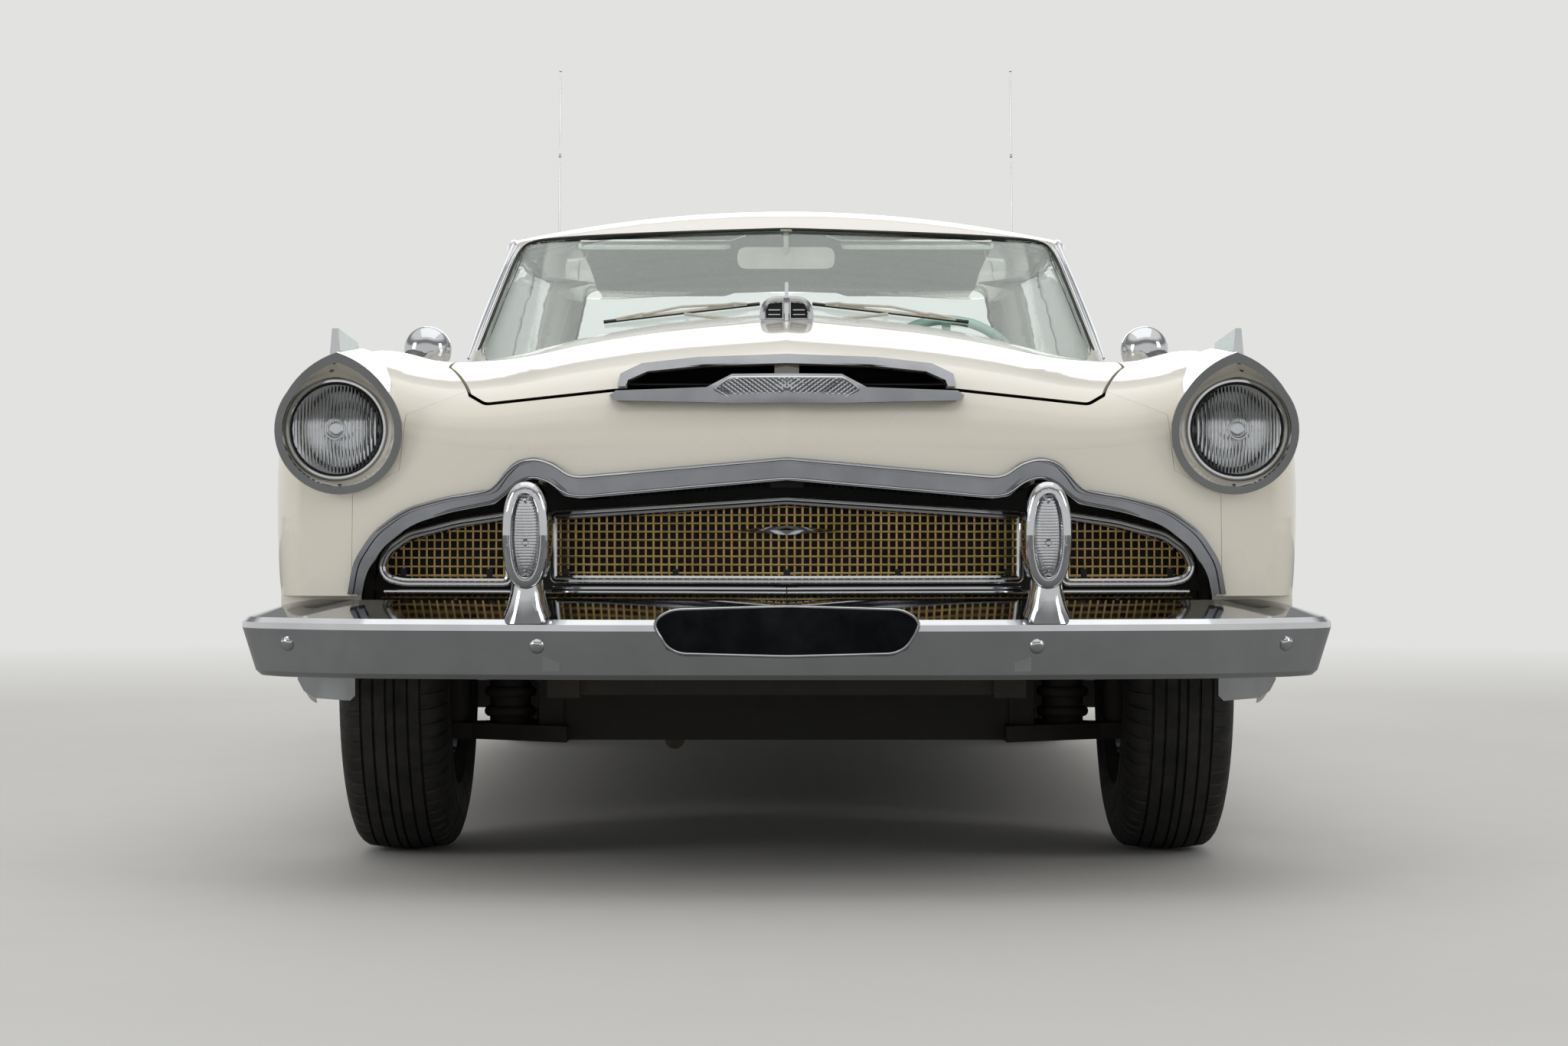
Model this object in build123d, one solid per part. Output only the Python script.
from build123d import *
from functools import cache
import math
import os

# Hardtop car of the mid 1950s, at full size, in millimetres.
# Frame: +Z up, the nose points along -Y, +X is the car's left (driver's) side.
# The origin is on the ground, midway between the bumpers' outermost faces at this length.

# Driving dimensions of the whole car
LENGTH = 5610.0
WHEELBASE = 3200.0
FRONT_OVERHANG = 905.0
TRACK_FRONT = 1534.0
TRACK_REAR = 1514.0

# Tyres and wheels
TYRE_RADIUS = 358.0
RIM_RADIUS = 190.0
SPINDLE_RADIUS = 17.0
RUNNING_CLEARANCE = 0.05
KINGPIN_X = 676.0
KINGPIN_RADIUS = 15.0

# Sheet metal and panel gaps
SKIN = 18.0
PANEL_GAP = 6.0
SEAM = 0.6
SEAT_GAP = 0.3
BELT_GAP = 0.4
ROOF_SKIN = 28.0
SILL_CORNER = 30.0
GLASS_DEPTH = 8.0
GLASS_THICK = 6.0

# Panel edges along the car
FRONT_Y = -2805.0
REAR_Y = FRONT_Y + LENGTH
NOSE_Y = FRONT_Y + 70
TAIL_FACE_Y = REAR_Y - 125
HOOD_REAR_Y = -1000.0
DOOR_FRONT_Y = -775.0
DOOR_REAR_Y = 560.0
QUARTER_FRONT_Y = 500.0
DOOR_BOTTOM_Z = 335.0
DOOR_INNER_X = 870.0
DOOR_SHELF_X = 768.0
DOOR_SLANT = 0.185
DECK_FRONT_Y = 1760.0
DECK_SEAM_Z = 640.0
DECK_HALF_WIDTH = 600.0
HINGE_X = 990.0

# Wheel openings
FRONT_ARCH_RADIUS = 402.0
REAR_ARCH_RADIUS = 392.0
FRONT_ARCH_Z = 330.0
REAR_ARCH_Z = 300.0

# Values worked out from these
FRONT_AXLE_Y = FRONT_Y + FRONT_OVERHANG
REAR_AXLE_Y = FRONT_AXLE_Y + WHEELBASE
AXLE_Z = TYRE_RADIUS
WIDE = 1300.0

# Body sections from nose to tail. Each row: y on the centre line, how far y moves back for each
# unit of x, height on the centre line, then (x, z) of the valley beside hood or deck, the fender's
# crown, its outer edge, the widest point, the lower side and the sill.
BODY_SECTIONS = [
    (NOSE_Y, 0.14, 800, (600, 795), (800, 850), (862, 800), (875, 760), (875, 560), (850, 430)),
    (-2722, 0.14, 880, (605, 850), (800, 905), (888, 870), (910, 790), (908, 560), (882, 420)),
    (-2690, 0.14, 930, (608, 880), (805, 942), (908, 897), (931, 795), (928, 560), (904, 400)),
    (-2620, 0.14, 975, (614, 908), (806, 972), (922, 918), (945, 800), (942, 560), (910, 370)),
    (-2400, 0.10, 1032, (628, 947), (802, 1008), (926, 940), (953, 800), (951, 560), (917, 320)),
    (-1900, 0.04, 1095, (655, 981), (802, 1016), (928, 947), (962, 795), (960, 545), (926, 262)),
    (-1200, 0.0, 1124, (700, 1022), (802, 1032), (922, 962), (970, 790), (968, 540), (935, 255)),
    (-300, 0.0, 1085, (735, 1040), (805, 1042), (915, 975), (978, 790), (976, 525), (938, 250)),
    (700, 0.0, 1060, (738, 1036), (808, 1045), (915, 980), (984, 790), (983, 525), (942, 250)),
    (1400, 0.0, 1045, (705, 1008), (818, 1050), (912, 990), (985, 790), (984, 545), (945, 275)),
    (REAR_Y - 755, 0.0, 1015, (668, 972), (832, 1062), (905, 1012), (975, 785), (973, 565), (932, 320)),
    (REAR_Y - 325, 0.0, 965, (645, 935), (842, 1075), (900, 1035), (962, 785), (958, 585), (915, 370)),
    (REAR_Y - 165, 0.0, 925, (630, 905), (846, 1072), (896, 1035), (950, 785), (946, 600), (905, 400)),
    (TAIL_FACE_Y, 0.0, 880, (620, 865), (846, 1050), (890, 1015), (940, 785), (935, 610), (895, 420)),
]

# Outlines of the glasshouse seen from above. Each row: height, then (x, y) from the windscreen's
# middle round one side to the rear window's middle.
GLASSHOUSE_OUTLINES = [
    (990, [(0, -1215), (420, -1165), (700, -1035), (800, -870), (822, -300), (825, 500),
           (795, 1130), (655, 1450), (330, 1610), (0, 1650)]),
    (1250, [(0, -815), (385, -785), (640, -695), (735, -560), (772, -100), (775, 480),
            (742, 950), (615, 1190), (325, 1310), (0, 1340)]),
    (1510, [(0, -415), (335, -395), (570, -335), (662, -230), (694, 100), (692, 460),
            (662, 770), (552, 910), (300, 985), (0, 1005)]),
]
ROOF_TOP_Z = 1494.0
ROOF_TOP_Y = 200.0
ROOF_ARC_ACROSS = 3300.0
ROOF_ARC_ALONG = 4300.0


# Helpers for outlines and simple solids

def half_face(points, last_corner=None):
    """A face from a softened open outline whose two ends lie on the middle plane.

    Each corner is replaced by a curve between the middles of its two runs. last_corner gives
    the last one a smaller curve, which starts and ends that far from the corner.
    """
    points = [Vector(*point) for point in points]
    middles = [(a + b) * 0.5 for a, b in zip(points, points[1:])]
    edges = [Line(points[0], middles[0])]
    corners = points[1:-1]
    for k, corner in enumerate(corners):
        start, end = middles[k], middles[k + 1]
        if last_corner and k == len(corners) - 1:
            near = corner + (start - corner).normalized() * last_corner
            far = corner + (end - corner).normalized() * last_corner
            edges += [Line(start, near), Bezier(near, corner, far), Line(far, end)]
        else:
            edges.append(Bezier(start, corner, end))
    edges += [Line(middles[-1], points[-1]), Line(points[-1], points[0])]
    return Face(Wire(edges))


def closed_face(points, radius):
    """A face from a closed outline with every corner rounded."""
    if not radius:
        return Face(Wire(Polyline(*points, close=True).edges()))
    return Face(Wire(FilletPolyline(*points, radius=radius, close=True).edges()))


def prism_x(yz, x0, x1, radius=0.0):
    face = closed_face([(x0, y, z) for y, z in yz], radius)
    return extrude(face, amount=abs(x1 - x0), dir=(math.copysign(1, x1 - x0), 0, 0))


def prism_y(xz, y0, y1, radius=0.0):
    face = closed_face([(x, y0, z) for x, z in xz], radius)
    return extrude(face, amount=y1 - y0, dir=(0, 1, 0))


def prism_z(xy, z0, z1, radius=0.0):
    face = closed_face([(x, y, z0) for x, y in xy], radius)
    return extrude(face, amount=z1 - z0, dir=(0, 0, 1))


def box(x0, x1, y0, y1, z0, z1):
    size = (x1 - x0, y1 - y0, z1 - z0)
    return Pos((x0 + x1) / 2, (y0 + y1) / 2, (z0 + z1) / 2) * Box(*size)


def rod_x(x0, x1, y, z, radius):
    return Pos((x0 + x1) / 2, y, z) * Rot(0, 90, 0) * Cylinder(radius, x1 - x0)


def rod_y(x, y0, y1, z, radius):
    return Pos(x, (y0 + y1) / 2, z) * Rot(90, 0, 0) * Cylinder(radius, y1 - y0)


def rod_z(x, y, z0, z1, radius):
    return Pos(x, y, (z0 + z1) / 2) * Cylinder(radius, z1 - z0)


def tube_between(start, end, radius):
    """A round bar from one point to another."""
    path = Vector(end) - Vector(start)
    plane = Plane(origin=start, z_dir=path)
    return extrude(plane * Circle(radius), amount=path.length)


def flip(shape):
    """The same shape on the other side of the car."""
    return mirror(shape, about=Plane.YZ)


def both(shape):
    return shape + flip(shape)


def both_apart(shape):
    """Two solids that don't touch, one on each side."""
    return Compound(children=[*shape.solids(), *flip(shape).solids()])


# The body's outer form

def inset_points(points, inset):
    """Moves an open outline inwards. Its first run starts on the middle plane."""
    if not inset:
        return points
    runs = []
    for (xa, za), (xb, zb) in zip(points, points[1:]):
        length = math.hypot(xb - xa, zb - za)
        nx, nz = (zb - za) / length * inset, -(xb - xa) / length * inset
        runs.append(((xa + nx, za + nz), (xb + nx, zb + nz)))
    moved = []
    (xa, za), (xb, zb) = runs[0]
    moved.append((0, za + (zb - za) * (0 - xa) / (xb - xa)))
    for ((x1, z1), (x2, z2)), ((x3, z3), (x4, z4)) in zip(runs, runs[1:]):
        cross = (x2 - x1) * (z4 - z3) - (z2 - z1) * (x4 - x3)
        t = ((x3 - x1) * (z4 - z3) - (z3 - z1) * (x4 - x3)) / cross
        moved.append((x1 + t * (x2 - x1), z1 + t * (z2 - z1)))
    (xa, za), (xb, zb) = runs[-1]
    moved.append((0, zb))
    return moved


@cache
def body_form(inset=0.0, floor_z=None):
    """The closed body below the windows. floor_z lowers its underside, to hollow a shell."""
    faces = []
    for y_mid, slant, z_mid, *corners in BODY_SECTIONS:
        x_valley, z_valley = corners[0]
        shoulder = (0.55 * x_valley, z_mid - 0.28 * (z_mid - z_valley))
        outline = [(0, z_mid), shoulder, *corners, (0, corners[-1][1])]
        outline = inset_points(outline, inset)
        if floor_z is not None:
            (xa, za), (xb, zb) = outline[-3], outline[-2]
            outline[-2:] = [(xb + (xb - xa) * (floor_z - zb) / (zb - za), floor_z), (0, floor_z)]
        near_nose = max(0.0, 1 - (y_mid - NOSE_Y) / 335)
        near_tail = max(0.0, 1 - (TAIL_FACE_Y - y_mid) / 200)
        y = y_mid + inset * (near_nose - near_tail)
        faces.append(half_face([(px, y + slant * px, pz) for px, pz in outline], SILL_CORNER))
    half = loft(faces)
    return half + flip(half)


@cache
def glasshouse_form(inset=0.0):
    """Windscreen, side glass and pillars as one closed form under the roof's dome."""
    faces = []
    for z, outline in GLASSHOUSE_OUTLINES:
        moved = inset_points([(x, -y) for x, y in outline], inset)
        faces.append(half_face([(x, -y, z) for x, y in moved]))
    half = loft(faces)
    return (half + flip(half)) & roof_dome(inset)


def roof_dome(inset=0.0):
    """Everything below the roof's crowned surface, which curves along and across."""
    axis_z = ROOF_TOP_Z - ROOF_ARC_ALONG
    top = ROOF_TOP_Z - inset
    across = ROOF_ARC_ACROSS
    half_width = 900.0
    drop = across - math.sqrt(across**2 - half_width**2)
    arc = ThreePointArc((-half_width, 0, top - drop), (0, 0, top), (half_width, 0, top - drop))
    bottom = top - 700.0
    sides = Polyline((half_width, 0, top - drop), (half_width, 0, bottom),
                     (-half_width, 0, bottom), (-half_width, 0, top - drop))
    profile = Face(Wire(arc.edges() + sides.edges()))
    axis = Axis((0, 0, axis_z), (1, 0, 0))
    swung = Rot(-22, 0, 0)
    profile = Pos(0, 0, axis_z) * swung * Pos(0, 0, -axis_z) * profile
    return Pos(0, ROOF_TOP_Y, 0) * revolve(profile, axis, revolution_arc=44)


def grown_prism_z(xy, z0, z1, radius, grow):
    face = closed_face([(x, y, z0) for x, y in xy], radius)
    return extrude(offset(face, grow), amount=z1 - z0, dir=(0, 0, 1))


def mirrored_outline(half):
    """A closed outline from its +X half, whose ends lie on the middle plane."""
    return half + [(-x, y) for x, y in reversed(half) if x > 0]


# Regions that split the skin where the real panels meet

HOOD_PLAN = [(0, -2950), (560, -2950), (576, -2600), (640, -2350), (662, -1900), (688, -1400),
             (690, HOOD_REAR_Y), (400, HOOD_REAR_Y - 85), (0, HOOD_REAR_Y - 115)]
# The seam below the hood's nose seen from the front, as its +X half
HOOD_FRONT = [(0, 905), (300, 905), (546, 880), (592, 906), (760, 906), (760, 1400), (0, 1400)]
DECK_PLAN = [(0, DECK_FRONT_Y + 30), (480, DECK_FRONT_Y), (DECK_HALF_WIDTH, DECK_FRONT_Y + 60),
             (DECK_HALF_WIDTH + 8, (DECK_FRONT_Y + TAIL_FACE_Y) / 2),
             (DECK_HALF_WIDTH - 10, TAIL_FACE_Y - 80), (DECK_HALF_WIDTH - 14, REAR_Y + 145),
             (0, REAR_Y + 145)]
WELL_PLAN = [(0, -870), (560, -850), (700, -745), (755, -560), (768, 500), (738, 1060),
             (600, 1330), (0, 1490)]


def hood_region(grow):
    plan = grown_prism_z(mirrored_outline(HOOD_PLAN), 850, WIDE + 100, 0, grow)
    line = FilletPolyline(*[(x, -3000, z) for x, z in HOOD_FRONT], radius=[200, 24, 30, 5, 5])
    face = Face(Wire(line.edges() + mirror(line, about=Plane.YZ).edges()))
    return plan & extrude(offset(face, grow), amount=2400, dir=(0, 1, 0))


def deck_region(grow):
    return grown_prism_z(mirrored_outline(DECK_PLAN), DECK_SEAM_Z - grow, WIDE + 100, 0, grow)


def cabin_well():
    """The opening in the body's top, inside the glass."""
    return grown_prism_z(mirrored_outline(WELL_PLAN), 880, WIDE + 300, 0, 0)


def door_region(grow):
    """The left door's space below the window, grown or shrunk all round."""
    inner = DOOR_INNER_X - grow
    shelf = DOOR_SHELF_X - grow
    front = DOOR_FRONT_Y - grow
    rear = DOOR_REAR_Y + grow
    slant_end = rear - DOOR_SLANT * (HINGE_X - shelf)
    plan = [(shelf, front), (WIDE, front), (WIDE, rear), (HINGE_X, rear), (shelf, slant_end)]
    side = [(front, DOOR_BOTTOM_Z - grow), (rear, DOOR_BOTTOM_Z - grow), (rear, WIDE),
            (front, WIDE)]
    across = [(inner, 0), (WIDE, 0), (WIDE, WIDE), (shelf, WIDE), (shelf, 930 - grow),
              (inner, 930 - grow)]
    return prism_z(plan, 0, WIDE) & prism_x(side, 600, WIDE, 40) & prism_y(across, front, rear)


def arches():
    """Wheel openings, cut through the outer skin on both sides."""
    front = rod_x(-WIDE, WIDE, FRONT_AXLE_Y, FRONT_ARCH_Z, FRONT_ARCH_RADIUS)
    rear = rod_x(-WIDE, WIDE, REAR_AXLE_Y, REAR_ARCH_Z, REAR_ARCH_RADIUS)
    return front + rear - box(-600, 600, -WIDE * 3, WIDE * 3, 0, WIDE)


# Grille opening seen from the front, and the planes of the nose

GRILLE_OUTLINE = [(0, 782), (372, 750), (392, 752), (417, 773), (453, 784), (488, 776),
                  (510, 752), (528, 727), (612, 713), (690, 692), (748, 649), (784, 594),
                  (800, 500), (0, 500)]
GRILLE_RADII = [6, 6, 30, 40, 40, 30, 20, 300, 150, 120, 100, 5]
# The moulding's inner edge, and the fillets at its corners
GRILLE_INNER = [(0, 741), (368, 709), (398, 713), (424, 736), (453, 745), (482, 738), (503, 716),
                (524, 699), (606, 684), (678, 662), (728, 622), (760, 574), (776, 490), (0, 490)]
INNER_RADII = [6, 15, 22, 25, 22, 15, 15, 300, 150, 100, 90, 5]
NOSE_SLANT = 0.14
GRILLE_FLOOR_Z = 535.0
NOSE_FLOOR_Z = 533.0


def nose_slab(front, back, z0=300.0, z1=1100.0):
    """A slab parallel to the nose, V-shaped seen from above, from front to back of its face."""
    reach = 1000.0
    half = [(0, NOSE_Y + front), (reach, NOSE_Y + front + NOSE_SLANT * reach),
            (reach, NOSE_Y + back + NOSE_SLANT * reach), (0, NOSE_Y + back)]
    return prism_z(mirrored_outline(half), z0, z1)


def grille_prism(outline, radii, grow=0.0):
    """An outline of the grille opening, moved in or out, through the whole nose."""
    line = FilletPolyline(*[(x, NOSE_Y - 200, z) for x, z in outline], radius=radii)
    whole = Face(Wire(line.edges() + mirror(line, about=Plane.YZ).edges()))
    if grow:
        whole = offset(whole, grow)
    return extrude(whole, amount=600, dir=(0, 1, 0))


def grille_outer(grow=0.0):
    return grille_prism(GRILLE_OUTLINE, GRILLE_RADII, grow)


def grille_inner(grow=0.0):
    return grille_prism(GRILLE_INNER, INNER_RADII, grow)


# Headlamps

LAMP_X = 822.0
LAMP_Z = 836.0
LAMP_Y = -2575.0
LENS_RADIUS = 84.0
RING_X = 807.0
RING_Z = 832.0
RING_RADIUS = 113.0
RING_PEAK = 27.0
RING_BAND = 12.0
POD_FRONT_Y = -2648.0
POD_LEAN = 8.0


def peaked_face(radius, peak):
    """A circle drawn up to a soft point at its top, round the origin."""
    side = math.radians(38)
    right = Vector(radius * math.cos(side), radius * math.sin(side))
    left = Vector(-right.X, right.Y)
    tip = Vector(0, radius + peak)
    lean = (tip - right).rotate(Axis.Z, -90).normalized() * (0.09 * (tip - right).length)
    swell = (right + tip) * 0.5 + lean
    around = ThreePointArc(left, (0, -radius), right)
    rise = ThreePointArc(right, swell, tip)
    fall = ThreePointArc(tip, (-swell.X, swell.Y), left)
    return Face(Wire(around.edges() + rise.edges() + fall.edges()))


def lamp_plane(y, lean=0.0, x=LAMP_X, z=LAMP_Z):
    t = math.radians(lean)
    return Plane(origin=(x, y, z), x_dir=(1, 0, 0), z_dir=(0, -math.cos(t), -math.sin(t)))


def headlamp_pod():
    """The left pod's outer form, which swells into the fender behind it."""
    front = lamp_plane(POD_FRONT_Y, POD_LEAN, RING_X, RING_Z) * peaked_face(RING_RADIUS, RING_PEAK)
    back = lamp_plane(-2400, 0, 800, 830) * peaked_face(138, 26)
    return loft([front, back])


def headlamp_bucket():
    """The recess in front of the lens, peaked at its mouth and round at its back."""
    mouth = lamp_plane(POD_FRONT_Y - 2, POD_LEAN, RING_X, RING_Z) * peaked_face(RING_RADIUS - RING_BAND, 23)
    seat = lamp_plane(LAMP_Y - 12) * peaked_face(LENS_RADIUS + 11, 0.5)
    pocket = rod_y(LAMP_X, LAMP_Y - 12, LAMP_Y + 60, LAMP_Z, LENS_RADIUS + 11)
    return loft([mouth, seat]) + pocket


def headlamp_ring():
    """The chrome ring on the pod's face."""
    t = math.radians(POD_LEAN)
    step = Vector(0, -math.cos(t), -math.sin(t))
    plane = lamp_plane(POD_FRONT_Y, POD_LEAN, RING_X, RING_Z)
    face = peaked_face(RING_RADIUS + 2, RING_PEAK) - peaked_face(RING_RADIUS - RING_BAND, 23)
    return extrude(plane.offset(SEAT_GAP) * face, amount=12, dir=step)


def headlamp_unit():
    """Sealed lamp: a shallow bowl behind a domed lens, held in the pod's pocket."""
    body = rod_y(LAMP_X, LAMP_Y, LAMP_Y + 59.7, LAMP_Z, LENS_RADIUS + 10)
    dome_radius = 260.0
    dome = Pos(LAMP_X, LAMP_Y - 18 + dome_radius, LAMP_Z) * Sphere(dome_radius)
    cap = dome & rod_y(LAMP_X, LAMP_Y - 30, LAMP_Y, LAMP_Z, LENS_RADIUS)
    return body + cap


# Body panels

LATCH_Z = 894.0


def make_panels(outer, shell):
    """All skin panels, as a dict of node name to solid."""
    gap = PANEL_GAP / 2
    pod = headlamp_pod()
    bucket = headlamp_bucket()
    hood_hole = hood_region(gap)
    body = shell - hood_hole - deck_region(gap) - cabin_well() - arches()
    body -= box(-WIDE, WIDE, NOSE_Y - 100, -2500, 0, NOSE_FLOOR_Z)
    door_hole = door_region(PANEL_GAP)

    front_view = [(0, 300), (790, 300), (786, 716), (700, 760), (688, 861), (585, 904),
                  (560, 1000), (0, 1000)]
    nose_zone = prism_y(mirrored_outline(front_view), NOSE_Y - 100, -2470)
    seam_zone = prism_y(mirrored_outline([(x + SEAM if x else x, z) for x, z in front_view]),
                        NOSE_Y - 100, -2470 + SEAM)
    nose = (body & nose_zone) - both(pod) - grille_inner(9)

    fender_zone = box(0, WIDE, NOSE_Y - 100, DOOR_FRONT_Y - PANEL_GAP, 0, WIDE)
    cowl_zone = box(-700, 700, HOOD_REAR_Y - 130, -700, 800, WIDE)
    fender = (body & fender_zone) - seam_zone - cowl_zone - door_hole
    fender = fender + (pod & fender_zone) - bucket
    apron = box(456, 464, -2440, -1150, 600, 848) + box(456, WIDE, -2440, -1150, 840, 848)
    fender = fender + (apron & body_form(SKIN / 2))
    cowl = (body & cowl_zone)
    cowl = cowl & box(-700 + SEAM, 700 - SEAM, -WIDE, -700, 800, WIDE)

    quarter_zone = box(0, WIDE, DOOR_FRONT_Y, REAR_Y, 0, WIDE)
    quarter = (body & quarter_zone) - door_hole - box(0, WIDE, -900, QUARTER_FRONT_Y, 0, WIDE)
    tail_zone = box(-620, 620, 1200, REAR_Y, 0, WIDE)
    quarter = quarter - box(-620 - SEAM, 620 + SEAM, 1200, REAR_Y, 0, WIDE)
    tail = body & tail_zone
    near = body_form(SKIN / 2)
    hood = (shell & hood_region(-gap)) - front_prism(SCOOP_MOUTH, True, -1)
    hood = hood + (box(-22, 22, -2650, -2622, LATCH_Z + SEAT_GAP, 990) & near)
    nose = nose + (box(-50, 50, -2730, -2615, LATCH_Z - 10, LATCH_Z) & near)
    latch_y = TAIL_FACE_Y - 40
    striker = box(-18, 18, latch_y, latch_y + 15, 632 + SEAT_GAP, 665)
    striker += box(-18, 18, latch_y, latch_y + 26, 646, 665)
    deck = (shell & deck_region(-gap)) + (striker & near)
    tail = tail + (box(-50, 50, latch_y - 10, TAIL_FACE_Y + 10, 620, 632) & near)
    tail -= both(box(400, 430, TAIL_FACE_Y - 80, REAR_Y, 0, 436))
    door = outer & door_region(0)
    return {
        "nose_panel": nose, "cowl": cowl, "tail_panel": tail, "hood": hood, "deck_lid": deck,
        "fender_left": fender, "fender_right": flip(fender),
        "quarter_left": quarter, "quarter_right": flip(quarter),
        "door_left": door, "door_right": flip(door),
    }


# Roof and glass

WINDSCREEN_VIEW = [(0, 1392), (665, 1372), (745, 1042), (400, 1068), (0, 1082)]
REAR_WINDOW_VIEW = [(0, 1384), (600, 1368), (700, 1022)]
SIDE_WINDOW_VIEW = [(-800, 1000), (-790, 1040), (-385, 1372), (835, 1372), (1020, 1050), (1030, 1000)]
WINDOW_CORNER = 42.0
GLASS_GAP = 8.0
DOOR_GLASS_X = 805.0


def view_prism_y(half, y0, y1, grow):
    """A window's outline seen from front or rear, swept along the car."""
    points = half + [(-x, z) for x, z in reversed(half) if x > 0]
    face = closed_face([(x, y0, z) for x, z in points], WINDOW_CORNER)
    return extrude(offset(face, grow) if grow else face, amount=y1 - y0, dir=(0, 1, 0))


def side_prism(grow):
    """The left side window's opening, through the left side only."""
    face = closed_face([(500, y, z) for y, z in SIDE_WINDOW_VIEW], 30)
    return extrude(offset(face, grow) if grow else face, amount=500, dir=(1, 0, 0))


def make_roof_and_glass():
    """Roof with its pillars, and every pane."""
    skin = glasshouse_form()
    crown = [e for e in skin.edges() if e.center().Z > 1340]
    skin = fillet(crown, 45)
    front = view_prism_y(WINDSCREEN_VIEW, -1500, -250, 0)
    rear = view_prism_y(REAR_WINDOW_VIEW, 560, 1900, 0)
    belt = body_form(-BELT_GAP)
    roof = skin - glasshouse_form(ROOF_SKIN) - front - rear - both(side_prism(0)) - belt
    roof = roof & box(-WIDE, WIDE, -WIDE, 1700, 1000, WIDE + 300)
    pane = glasshouse_form(GLASS_DEPTH) - glasshouse_form(GLASS_DEPTH + GLASS_THICK) - belt
    windshield = pane & view_prism_y(WINDSCREEN_VIEW, -1500, -250, -SEAT_GAP)
    rear_pane = pane & view_prism_y(REAR_WINDOW_VIEW, 560, 1900, -SEAT_GAP)
    split_y = DOOR_REAR_Y - DOOR_SLANT * (HINGE_X - DOOR_GLASS_X)
    door_pane = pane & side_prism(-GLASS_GAP)
    door_pane = door_pane & box(500, 1000, DOOR_FRONT_Y, split_y - 4, 1000, WIDE + 200)
    quarter_pane = pane & side_prism(-SEAT_GAP) & box(500, 1000, split_y + 6, WIDE, 1000, WIDE + 200)
    return {
        "roof": roof, "windshield": windshield,
        "rear_glass": Compound(children=[*rear_pane.solids(), *quarter_pane.solids(),
                                         *flip(quarter_pane).solids()]),
        "door_glass_left": door_pane, "door_glass_right": flip(door_pane),
    }


# Frame, floor and running gear

RAIL_X0 = 385.0
RAIL_X1 = 445.0
FLOOR_Z = 285.0
FLOOR_THICK = 15.0
TRUNK_Z = 560.0
TUNNEL_HALF = 130.0
TUNNEL_Z = 430.0

RAIL_REAR_Y = REAR_Y - 205
HORN_FRONT_Y = -2700.0
HORN_REAR_Y = REAR_Y - 105
RAIL_SIDE = [(-2480, 430), (-1330, 430), (-1150, 284.7), (900, 284.7), (1110, 540), (1540, 540),
             (1760, 440), (RAIL_REAR_Y, 440), (RAIL_REAR_Y, 360), (1720, 360), (1500, 450),
             (1150, 450), (930, 190), (-1190, 190), (-1370, 340), (-2480, 340)]
# Each row: y0, y1, z0, z1 of a crossmember between the rails
CROSSMEMBERS = [
    (-2470, -2400, 345, 425),
    (-820, -760, 226, 280),
    (-300, -240, 226, 280),
    (560, 620, 226, 280),
    (1700, 1760, 380, 430),
    (RAIL_REAR_Y - 100, RAIL_REAR_Y - 30, 365, 435),
]
OUTRIGGERS_Y = [-700.0, 0.0, 520.0]


def make_chassis():
    rail = prism_x(RAIL_SIDE, RAIL_X0, RAIL_X1)
    frame = both(rail)
    for y0, y1, z0, z1 in CROSSMEMBERS:
        frame += box(-RAIL_X0 - 5, RAIL_X0 + 5, y0, y1, z0, z1)
    for y in OUTRIGGERS_Y:
        frame += both(box(RAIL_X1 - 5, 830, y, y + 60, 215, 280))
    for low, high in ((HORN_FRONT_Y, -2479), (RAIL_REAR_Y - 1, HORN_REAR_Y)):
        frame += both(box(RAIL_X0 + 20, RAIL_X1 - 20, low, high, 400, 430))
    return frame


def make_floor():
    top, low = FLOOR_Z + FLOOR_THICK, FLOOR_Z
    end = REAR_Y - 245
    side = [(-1130, top), (885, top), (1062, TRUNK_Z + 12), (end, TRUNK_Z + 12),
            (end, TRUNK_Z), (1070, TRUNK_Z), (893, low), (-1130, low)]
    floor = prism_x(side, -870, 870)
    tunnel = prism_y([(-TUNNEL_HALF, low), (TUNNEL_HALF, low), (TUNNEL_HALF - 15, TUNNEL_Z),
                      (-TUNNEL_HALF + 15, TUNNEL_Z)], -1130, 960)
    hollow = prism_y([(-TUNNEL_HALF + 12, 0), (TUNNEL_HALF - 12, 0), (TUNNEL_HALF - 27, TUNNEL_Z - 12),
                      (-TUNNEL_HALF + 27, TUNNEL_Z - 12)], -1400, 1200)
    firewall = box(-850, 850, -1142, -1128, low, 985)
    kick = both(box(838, 850, -1130, -800, low, 985))
    bulkhead = box(-600, 600, 1222, 1234, TRUNK_Z, 1200)
    arch = rod_x(560, 1000, REAR_AXLE_Y, AXLE_Z, 415)
    void = rod_x(572, 1001, REAR_AXLE_Y, AXLE_Z, 403)
    arch = arch & box(0, WIDE, 0, WIDE * 2, low, WIDE)
    inside = body_form(SKIN + 4, 100.0)
    notch = box(550, 580, REAR_AXLE_Y - 140, REAR_AXLE_Y + 140, 0, 470)
    pan = floor + tunnel + firewall + kick + bulkhead + both(arch)
    pan = (pan - both(void + notch) - hollow) & inside
    sill = body_form() & box(845, WIDE, DOOR_FRONT_Y - PANEL_GAP + SEAM,
                             QUARTER_FRONT_Y - SEAM, 0, DOOR_BOTTOM_Z - PANEL_GAP)
    return pan + both(sill)


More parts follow.
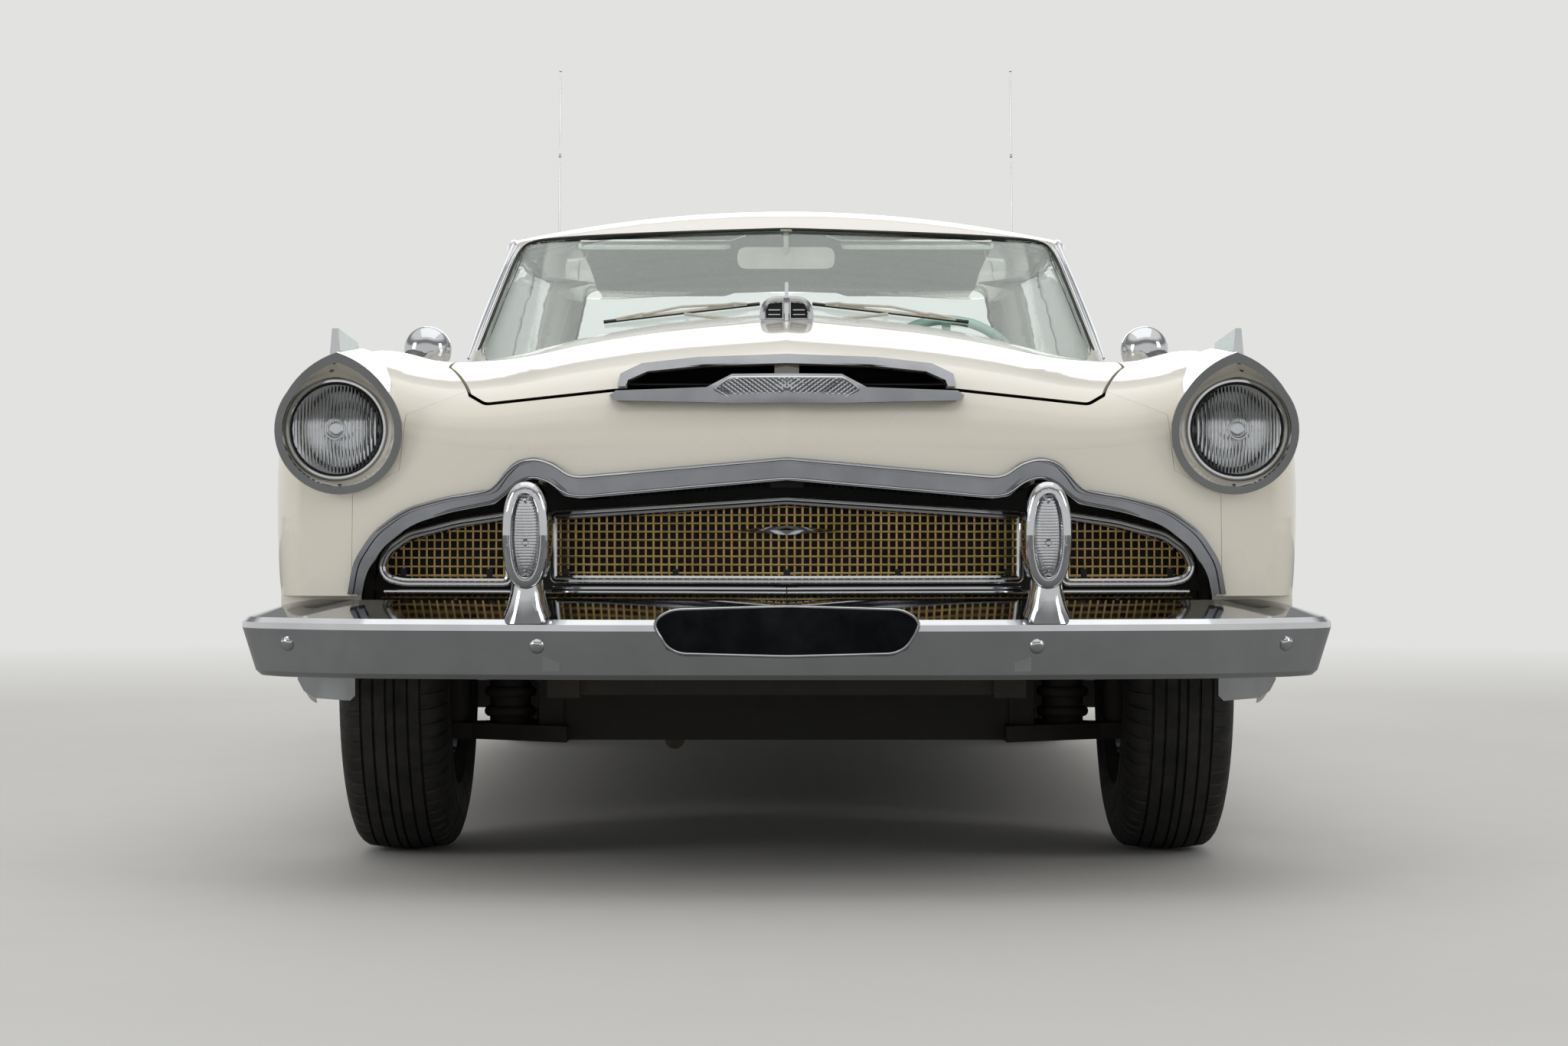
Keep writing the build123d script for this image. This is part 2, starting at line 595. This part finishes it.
def make_engine():
    block = box(-280, 280, -2150, -1350, 440, 860)
    gearbox = box(-170, 170, -1360, -1160, 380, 560) + box(-95, 95, -1170, -900, 300, 405)
    cleaner = rod_z(0, -1780, 855, 940, 170)
    radiator = box(-330, 330, -2470, -2410, 460, 830)
    fan = rod_y(0, -2411, -2149, 640, 60)
    feet = both(box(270, RAIL_X1 - 10, -1720, -1640, 430 + SEAT_GAP, 470))
    return block + gearbox + cleaner + radiator + fan + feet


LOWER_ARM_Z = 226.0
UPPER_ARM_Z = 460.0
ARM_THICK = 32.0


def make_front_suspension():
    y = FRONT_AXLE_Y
    lower_plan = [(440, y - 150), (640, y - 40), (710, y - 30), (710, y + 30), (640, y + 40),
                  (440, y + 150)]
    upper_plan = [(470, y - 90), (640, y - 32), (700, y - 28), (700, y + 28), (640, y + 32),
                  (470, y + 90)]
    lower = prism_z(lower_plan, LOWER_ARM_Z, LOWER_ARM_Z + ARM_THICK)
    upper = prism_z(upper_plan, UPPER_ARM_Z, UPPER_ARM_Z + ARM_THICK)
    tower = box(451, 500, y - 80, y + 80, LOWER_ARM_Z, UPPER_ARM_Z + ARM_THICK)
    spring = rod_z(565, y, LOWER_ARM_Z, UPPER_ARM_Z + 5, 42)
    for k in range(5):
        spring += Pos(565, y, LOWER_ARM_Z + 55 + 40 * k) * Torus(42, 11)
    side = lower + upper + tower + spring
    side -= rod_z(KINGPIN_X, y, 100, 700, KINGPIN_RADIUS + RUNNING_CLEARANCE)
    member = box(-455, 455, y - 70, y + 70, LOWER_ARM_Z, 340 - SEAT_GAP)
    return both(side) + member


def make_knuckle():
    y = FRONT_AXLE_Y
    post = rod_z(KINGPIN_X, y, LOWER_ARM_Z + ARM_THICK + 6, UPPER_ARM_Z - 6, 27)
    pin = rod_z(KINGPIN_X, y, LOWER_ARM_Z + 6, UPPER_ARM_Z + ARM_THICK - 6, KINGPIN_RADIUS)
    spindle = rod_x(KINGPIN_X, TRACK_FRONT / 2 + 42, y, AXLE_Z, SPINDLE_RADIUS)
    return post + pin + spindle


def make_rear_axle():
    y, z = REAR_AXLE_Y, AXLE_Z
    axle = rod_x(-640, 640, y, z, 40) + Pos(0, y, z) * Sphere(140)
    axle += rod_x(-TRACK_REAR / 2 - 42, TRACK_REAR / 2 + 42, y, z, SPINDLE_RADIUS)
    axle += both(rod_x(626, 640, y, z, 125))
    leaf = prism_x([(690, 222), (1000, 264), (1300, 292), (1640, 304), (1960, 345), (1960, 370),
                    (1640, 336), (1300, 328), (1000, 296), (690, 247)], 490, 548)
    front_eye = box(RAIL_X1 + SEAT_GAP, 495, 695, 735, 224, 246)
    shackle = box(RAIL_X1 + SEAT_GAP, 495, 1922, 1955, 352, 372)
    shaft = rod_y(0, -880, y, z, 30)
    return axle + both(leaf + front_eye + shackle) + shaft


TANK_REAR_Y = REAR_Y - 325


def make_exhaust():
    route = FilletPolyline((-250, -1300, 180), (-250, 860, 180), (-250, 1060, 470), (-250, 1560, 470),
                           (-300, 1800, 262), (-300, HORN_REAR_Y, 262), radius=70)
    start = Plane(origin=(-250, -1300, 180), z_dir=(0, 1, 0))
    pipe = sweep(start * Circle(22), path=route)
    muffler = Pos(-250, 120, 200) * Box(170, 560, 90)
    muffler = fillet(muffler.edges().filter_by(Axis.Y), 40)
    tank = fillet(box(-240, 365, 1790, TANK_REAR_Y, 300, 530).edges(), 25)
    for x in (-200, 280):
        tank += box(x, x + 40, 1830, TANK_REAR_Y - 60, 520, TRUNK_Z - SEAT_GAP)
    pipe += box(-256, -244, -290, -250, 190, 226 - SEAT_GAP)
    pipe += box(-306, -294, RAIL_REAR_Y - 85, RAIL_REAR_Y - 45, 270, 365 - SEAT_GAP)
    return Compound(children=[*(pipe + muffler).solids(), *tank.solids()])


# Wheels and tyres. Profiles are (distance outboard from the wheel's middle, radius).

BORE_RADIUS = SPINDLE_RADIUS + RUNNING_CLEARANCE
WHEEL_PROFILE = [(-82, 178), (-82, 203), (-75.5, 203), (-75.5, RIM_RADIUS), (75.5, RIM_RADIUS),
                 (75.5, 203), (82, 203), (84, 184), (72, 172), (66, 140), (70, 96), (84, 66),
                 (92, 34), (94, 0), (50, 0), (50, BORE_RADIUS), (-44, BORE_RADIUS), (-44, 44),
                 (30, 50), (34, 165), (-70, 178)]
TYRE_PROFILE = [(-74, RIM_RADIUS + 0.5), (-74, 206), (-97, 226), (-108, 262), (-106, 300),
                (-95, 334), (-78, 350), (0, TYRE_RADIUS), (78, 350), (95, 334), (106, 300),
                (108, 262), (97, 226), (74, 206), (74, RIM_RADIUS + 0.5), (52, RIM_RADIUS + 0.5),
                (64, 226), (89, 262), (87, 298), (70, 328), (0, 339), (-70, 328), (-87, 298),
                (-89, 262), (-64, 226), (-52, RIM_RADIUS + 0.5)]


def spun(profile):
    """A solid of revolution about the X axis."""
    face = Face(Wire(Polyline(*[(x, 0, r) for x, r in profile], close=True).edges()))
    return revolve(face, Axis((0, 0, 0), (1, 0, 0)), revolution_arc=360)


def make_wheels():
    rim = spun(WHEEL_PROFILE)
    tyre = spun(TYRE_PROFILE)
    made = {}
    for place, x, y in (("front", TRACK_FRONT / 2, FRONT_AXLE_Y), ("rear", TRACK_REAR / 2, REAR_AXLE_Y)):
        for name, shape in (("wheel", rim), ("tyre", tyre)):
            left = Pos(x, y, AXLE_Z) * shape
            made[f"{name}_{place}_left"] = left
            made[f"{name}_{place}_right"] = flip(left)
    return made


# Cabin

WHEEL_X = 400.0
WHEEL_Y = -430.0
WHEEL_Z = 990.0
WHEEL_TILT = 27.0
WHEEL_RIM = 203.0


def column_point(distance):
    """A point down the steering column from the wheel's middle."""
    t = math.radians(WHEEL_TILT)
    return (WHEEL_X, WHEEL_Y - distance * math.cos(t), WHEEL_Z - distance * math.sin(t))


def make_steering_wheel():
    t = math.radians(WHEEL_TILT)
    plane = Plane(origin=column_point(0), x_dir=(1, 0, 0), z_dir=(0, math.cos(t), math.sin(t)))
    flat = Torus(WHEEL_RIM, 12) + Pos(0, 0, -18) * Cylinder(34, 36)
    for angle in (0, 180, 270):
        flat += Rot(0, 0, angle) * Pos(100, 0, -8) * Box(200, 22, 10)
    flat += Pos(0, 0, -90) * Cylinder(12, 120)
    return plane * flat


def make_dashboard():
    side = [(-1110, 1100), (-850, 1075), (-770, 1040), (-752, 990), (-770, 880), (-830, 856),
            (-1110, 856)]
    dash = prism_x(side, -735, 735) & body_form(SKIN + SEAM, 100.0)
    jacket = tube_between(column_point(45), column_point(760), 26)
    jacket -= tube_between(column_point(44), column_point(170), 12 + RUNNING_CLEARANCE)
    return dash + jacket + box(380, 420, -850, -800, 790, 870)


def make_seats():
    front = prism_x([(-290, 330), (-300, 520), (-230, 562), (230, 540), (330, 945), (375, 950),
                     (400, 930), (330, 560), (290, 296), (-260, 296)], -640, 640, 12)
    rear = prism_x([(430, 500), (480, 552), (880, 530), (1060, 960), (1120, 985),
                    (1190, 960), (1070, 600), (1030, 578), (866, 300.3), (440, 300.3)], -548, 548, 12)
    wide, narrow = TUNNEL_HALF + 3, TUNNEL_HALF - 12
    over = prism_y([(-wide, 0), (wide, 0), (wide, FLOOR_Z), (narrow, TUNNEL_Z + 3),
                    (-narrow, TUNNEL_Z + 3), (-wide, FLOOR_Z)], -1000, 1100)
    floor_gap = box(-WIDE, WIDE, -1000, 1100, 0, FLOOR_Z + FLOOR_THICK + SEAT_GAP)
    return {"front_seat": front - over - floor_gap, "rear_seat": rear - over}


# Bumpers

# The bumper's sheet. Each row: distance behind the outermost face, height above its lower edge.
BUMPER_SECTION = [(64, 0), (34, 3), (24, 12), (0, 90), (1, 101), (10, 110), (110, 141), (110, 132),
                  (14, 102), (9, 93), (32, 17), (38, 12), (64, 9)]
BUMPER_WRAP = 455.0
GUARD_X = 459.0
LENS_Z = 643.0
WRAP_INNER_X = 952.0
# Two corners of the bumper's plan, as (x, distance behind the outermost face), and their radii
FRONT_BUMPER_CORNER = ((800, 62), (997, 190), (420, 120))
REAR_BUMPER_CORNER = ((860, 36), (990, 108), (300, 90))


def bumper_sweep(end_y, sign, base_z, corner, section):
    """Sweeps a section of (distance back, height) points along the +X half of a bumper's plan."""
    (ax, a_back), (bx, b_back), radii = corner
    path = FilletPolyline((0, end_y, 0), (320, end_y, 0), (ax, end_y - sign * a_back, 0),
                          (bx, end_y - sign * b_back, 0), (bx, end_y - sign * BUMPER_WRAP, 0),
                          radius=[1500, *radii])
    points = [(0, end_y - sign * back, base_z + up) for back, up in section]
    face = Face(Wire(Polyline(*points, close=True).edges()))
    return sweep(face, path=Pos(0, 0, base_z) * path)


def bumper(end_y, sign, base_z, corner):
    """A bumper across the car. sign is -1 at the nose and 1 at the tail."""
    half = bumper_sweep(end_y, sign, base_z, corner, BUMPER_SECTION)
    return half + flip(half)


def oval(half_width, half_height, fullness=0.66):
    """An oval outline round the origin. A fullness of 0.55 makes an ellipse, more is squarer."""
    a, b, k = half_width, half_height, fullness
    quarter = [((a, 0), (a, b * k), (a * k, b), (0, b)), ((0, b), (-a * k, b), (-a, b * k), (-a, 0)),
               ((-a, 0), (-a, -b * k), (-a * k, -b), (0, -b)),
               ((0, -b), (a * k, -b), (a, -b * k), (a, 0))]
    return Face(Wire([Bezier(*points) for points in quarter]))


def guard(y, sign, z0, z1, x, foot_z, wide=93.0, deep=92.0):
    """A rounded upright whose flared foot ends inside the bumper's sheet, at foot_z."""
    face = Plane(origin=(x, y, (z0 + z1) / 2), x_dir=(1, 0, 0), z_dir=(0, sign, 0))
    body = extrude(face * oval(wide / 2, (z1 - z0) / 2), amount=-deep)
    front = [e for e in body.edges() if abs(e.center().Y - y) < 0.5]
    body = fillet(front, 14)
    middle = y - sign * (deep / 2 + 6)
    rings = [(z0 + 34, 26, 34), (z0 - 4, 30, 36), (foot_z, 50, 45)]
    return body + loft([Pos(x, middle, z) * Ellipse(a, b) for z, a, b in rings])


FRONT_BUMPER_Z = 385.0
# The plate recess: its mouth seen from the front, as the +X half, and the plan of its wall as
# (x, distance behind the outermost face)
PLATE_RECESS = [(0, 515), (190, 515), (232, 489), (212, 443), (184, 431), (0, 431)]
RECESS_WALL = [(248, 4), (192, 62)]
RECESS_FLOOR_Z = 425.0
BRACKET_BACK = 28.0
# The tab under each end of the front bumper: its sheet, and its outline seen from the front
TAB_SECTION = [(46, -40), (54, -40), (54, 6), (46, 6)]
TAB_OUTLINE = [(772, 400), (772, 356), (782, 347), (850, 350), (872, 362), (884, 382), (884, 400)]
GUARD_FOOT = 103.0
REAR_BUMPER_Z = 410.0


def plate_recess(front):
    """Cuts the plate's recess in the front bumper and closes it with a wall and a floor."""
    (wide, lip), (narrow, deep) = RECESS_WALL
    mouth = front_prism(PLATE_RECESS, True)
    mouth &= box(-300, 300, FRONT_Y - 95, FRONT_Y + deep + 2, 0, 900)
    plan = [(-wide, FRONT_Y + lip), (-narrow, FRONT_Y + deep), (narrow, FRONT_Y + deep),
            (wide, FRONT_Y + lip)]
    outside = [(FRONT_Y + 1 + back, FRONT_BUMPER_Z + up) for back, up in BUMPER_SECTION[2:7]]
    within = prism_x([*outside, (FRONT_Y + 111, FRONT_BUMPER_Z)], -300, 300)
    room = prism_z(plan, RECESS_FLOOR_Z + 6, 560)
    walls = grown_prism_z(plan, RECESS_FLOOR_Z, 559, 0, 6) - room
    return (front - mouth) + (walls & within)


def make_bumpers():
    clear = WRAP_INNER_X
    front = bumper(FRONT_Y, -1, FRONT_BUMPER_Z, FRONT_BUMPER_CORNER)
    front -= box(-clear, clear, FRONT_Y + 295, FRONT_Y + 500, 0, 900)
    lamp_guard = guard(FRONT_Y + 5, -1, 549, 738, GUARD_X, FRONT_BUMPER_Z + GUARD_FOOT, 84)
    lens_hole = Plane(origin=(GUARD_X, FRONT_Y, LENS_Z), x_dir=(1, 0, 0), z_dir=(0, -1, 0))
    pocket = extrude(lens_hole * oval(24, 74, 0.6), amount=-30)
    front += both(lamp_guard - pocket)
    front += both(box(400, 430, FRONT_Y + BRACKET_BACK, HORN_FRONT_Y - SEAT_GAP, 404, 428))
    front = plate_recess(front)
    tab = bumper_sweep(FRONT_Y, -1, FRONT_BUMPER_Z, FRONT_BUMPER_CORNER, TAB_SECTION)
    front += both(tab & prism_y(TAB_OUTLINE, FRONT_Y, FRONT_Y + 300))
    lens = extrude(lens_hole * oval(23.5, 73.5, 0.6), amount=-29.7) & box(0, 900, FRONT_Y + 8, 0, 0, 900)
    rear = bumper(REAR_Y, 1, REAR_BUMPER_Z, REAR_BUMPER_CORNER)
    rear -= box(-clear, clear, REAR_Y - 500, TAIL_FACE_Y + 4, 0, 900)
    rear += both(guard(REAR_Y - 5, 1, 532, 622, 430, REAR_BUMPER_Z + GUARD_FOOT, 86, 80))
    rear += both(box(400, 430, HORN_REAR_Y + SEAT_GAP, REAR_Y - BRACKET_BACK, 414, 432))
    return front, rear, lens


# Lamps and bright work

# Mesh panels seen from the front, as the +X half or the +X panel, and the mesh's own sizes
CENTRE_PANEL = [(0, 709), (425, 682), (425, 560), (0, 560)]
SIDE_PANEL = [(499, 683), (600, 668), (690, 645), (731, 616), (744, 584), (728, 562), (700, 554),
              (499, 554)]
MESH_BACK = 62.0
MESH_PITCH = 28.0
MESH_BAR = 5.0
PANEL_FRAME = 9.0


def front_prism(xz, whole=False, grow=0.0):
    """An outline seen from the front, through the nose. whole adds its mirror image."""
    points = mirrored_outline(xz) if whole else xz
    face = closed_face([(x, NOSE_Y - 200, z) for x, z in points], 0)
    return extrude(offset(face, grow) if grow else face, amount=900, dir=(0, 1, 0))


def mesh_panel(xz, whole):
    """A framed panel of crossed bars."""
    form = front_prism(xz, whole)
    inner = front_prism(xz, whole, -PANEL_FRAME)
    panel = nose_slab(MESH_BACK - 8, MESH_BACK + 6) & (form - inner)
    low = min(z for _, z in xz)
    high = max(z for _, z in xz)
    left = -max(x for x, _ in xz) if whole else min(x for x, _ in xz)
    right = max(x for x, _ in xz)
    bars = []
    z = low + PANEL_FRAME + MESH_PITCH / 2
    while z < high:
        bars.append(box(left, right, -3000, -2400, z - MESH_BAR / 2, z + MESH_BAR / 2))
        z += MESH_PITCH
    x = left + PANEL_FRAME + MESH_PITCH / 2
    while x < right:
        bars.append(box(x - MESH_BAR / 2, x + MESH_BAR / 2, -3000, -2400, low, high))
        x += MESH_PITCH
    grid = bars[0].fuse(*bars[1:])
    grid = nose_slab(MESH_BACK, MESH_BACK + 4) & grid & front_prism(xz, whole, -PANEL_FRAME + 1)
    return panel + grid


def make_grille():
    ring = grille_outer() - grille_inner()
    groove = grille_outer(-9) - grille_inner(9)
    skin = body_form(-SEAM)
    band = (ring & (body_form(-14) - skin)) - (groove & (body_form(-16) - body_form(-9)))
    surround = band & box(-WIDE, WIDE, -WIDE * 3, -2400, NOSE_FLOOR_Z + 3, 1000)
    back = nose_slab(84, 92, 540, 745) & box(-762, 762, -3000, -2400, 0, 1000)
    whole = back & grille_inner(5)
    side = mesh_panel(SIDE_PANEL, False)
    for part in (mesh_panel(CENTRE_PANEL, True), side, flip(side)):
        whole += part
    for x in (0, 200, 400, 540, 700):
        stay = nose_slab(MESH_BACK, 90, 566, 582) & box(x - 6, x + 6, -3000, -2400, 0, 1000)
        whole += both(stay)
    hanger = box(-30, 30, NOSE_Y, NOSE_Y + 90, 735, 772) & body_form(SKIN + SEAT_GAP, 100.0)
    return surround, whole + hanger


TAIL_LAMPS_Z = [960.0, 860.0, 760.0]
TAIL_LAMP_X = 874.0


def make_tail_lamps():
    """Chrome housings on both corners, each holding three round lamps one above another."""
    plate = Plane(origin=(TAIL_LAMP_X, TAIL_FACE_Y + SEAT_GAP, 860), x_dir=(1, 0, 0), z_dir=(0, 1, 0))
    housing = extrude(plate * SlotOverall(330, 96, rotation=90), amount=24)
    for z in TAIL_LAMPS_Z:
        housing += rod_y(TAIL_LAMP_X, TAIL_FACE_Y + 20, TAIL_FACE_Y + 44, z, 38)
    return both_apart(housing)


# The scoop in the hood's nose and its mouldings seen from the front, as +X halves
SCOOP_MOUTH = [(0, 951), (150, 948), (250, 938), (285, 922), (289, 914), (289, 890), (0, 890)]
SCOOP_LIP = [(0, 969), (160, 965), (262, 954), (300, 934), (304, 910), (289, 910), (285, 922),
             (250, 938), (150, 948), (0, 951)]
SCOOP_BAR = [(0, 931), (98, 931), (143, 907), (306, 902), (318, 893), (306, 884), (143, 880),
             (98, 878), (0, 878)]
ORNAMENT_Y = -2200.0


def make_scoop_bar():
    """The bar below the scoop, widened in its middle round a bare badge."""
    bar = (body_form(-20) - body_form(-SEAM)) & front_prism(SCOOP_BAR, True)
    return bar & box(-400, 400, -3000, -2560, 860, 1000)


def make_hood_trim():
    """The moulding over the scoop in the hood's nose and the ornament on its top."""
    near = body_form(-SEAM)
    lip = (body_form(-14) - near) & front_prism(SCOOP_LIP, True)
    trim = lip & box(-400, 400, -3000, -2560, 860, 1000)
    plane = Plane(origin=(0, ORNAMENT_Y, 1046), x_dir=(1, 0, 0), z_dir=(0, -1, 0))
    arch = extrude(plane * Ellipse(51, 66), amount=24, both=True)
    arch = fillet(arch.edges(), 12)
    tail = loft([plane.offset(-20) * Ellipse(46, 60), plane.offset(-150) * Ellipse(16, 22)])
    fin = prism_x([(ORNAMENT_Y - 60, 1040), (ORNAMENT_Y - 20, 1133), (ORNAMENT_Y + 40, 1128),
                   (ORNAMENT_Y + 160, 1050), (ORNAMENT_Y + 160, 1030)], -3.5, 3.5)
    ornament = (arch + tail + fin) - near
    return Compound(children=[*trim.solids(), *ornament.solids()])


AERIAL_Y = REAR_Y - 880


def make_fittings():
    """Mirrors on the fenders, aerials on the tail fins and the blades above the headlamps."""
    mirror_head = Pos(845, -975, 1073) * Rot(90, 0, 0) * Cylinder(55, 60)
    mirror_head = fillet(mirror_head.edges().group_by(Axis.Y)[0], 45)
    stalk = rod_z(845, -975, 980, 1030, 14)
    blade = loft([closed_face([(x, y, z) for x, z in outline], 0) for y, outline in (
        (-2572, [(812, 930), (820, 1021), (831, 1021), (839, 930)]),
        (-2300, [(815, 930), (821, 1010), (829, 1010), (835, 930)]))])
    aerial = tube_between((752, AERIAL_Y, 1050), (742, AERIAL_Y, 2160), 3.5)
    aerial += rod_z(752, AERIAL_Y, 950, 1075, 14)
    cut = body_form(-SEAM)
    blade -= headlamp_pod()
    parts = []
    for shape in (mirror_head + stalk, blade, aerial):
        shape = shape - cut
        parts += [*shape.solids(), *flip(shape).solids()]
    return Compound(children=parts)


# The left wiper: its pivot, where its arm meets the blade, and the blade's ends low on the glass
WIPER_PIVOT = (90, -1050, 1130)
WIPER_JOINT = (240, -937, 1159)
WIPER_BLADE = ((62, -929, 1180), (431, -945, 1136))


def make_wipers():
    x, y, z = WIPER_PIVOT
    arm = tube_between(WIPER_PIVOT, WIPER_JOINT, 4.5) + rod_z(x, y, 1060, z + 8, 12)
    arm += tube_between(*WIPER_BLADE, 5)
    return both_apart(arm - body_form(-SEAM) - glasshouse_form(-2))


def make_all():
    outer = body_form()
    shell = outer - body_form(SKIN, 100.0)
    nodes = make_panels(outer, shell)
    nodes.update(make_roof_and_glass())
    nodes["chassis_frame"] = make_chassis()
    nodes["floor_pan"] = make_floor()
    nodes["engine"] = make_engine()
    nodes["front_suspension"] = make_front_suspension()
    knuckle = make_knuckle()
    nodes["knuckle_left"] = knuckle
    nodes["knuckle_right"] = flip(knuckle)
    nodes["rear_axle"] = make_rear_axle()
    nodes["exhaust"] = make_exhaust()
    nodes.update(make_wheels())
    nodes["steering_wheel"] = make_steering_wheel()
    nodes["dashboard"] = make_dashboard()
    nodes.update(make_seats())
    front, rear, lens = make_bumpers()
    nodes["front_bumper"] = front
    nodes["rear_bumper"] = rear
    nodes["grille_surround"], nodes["grille_mesh"] = make_grille()
    nodes["headlamp_rings"] = both_apart(headlamp_ring())
    unit = headlamp_unit()
    nodes["lamp_lenses"] = Compound(children=[*unit.solids(), *flip(unit).solids(),
                                              *lens.solids(), *flip(lens).solids()])
    nodes["tail_lamps"] = make_tail_lamps()
    nodes["hood_trim"] = make_hood_trim()
    nodes["scoop_bar"] = make_scoop_bar()
    nodes["fender_fittings"] = make_fittings()
    nodes["wipers"] = make_wipers()
    return nodes


def main():
    os.makedirs("parts", exist_ok=True)
    for name, shape in make_all().items():
        export_step(shape, f"parts/{name}.step")


if __name__ == "__main__":
    main()
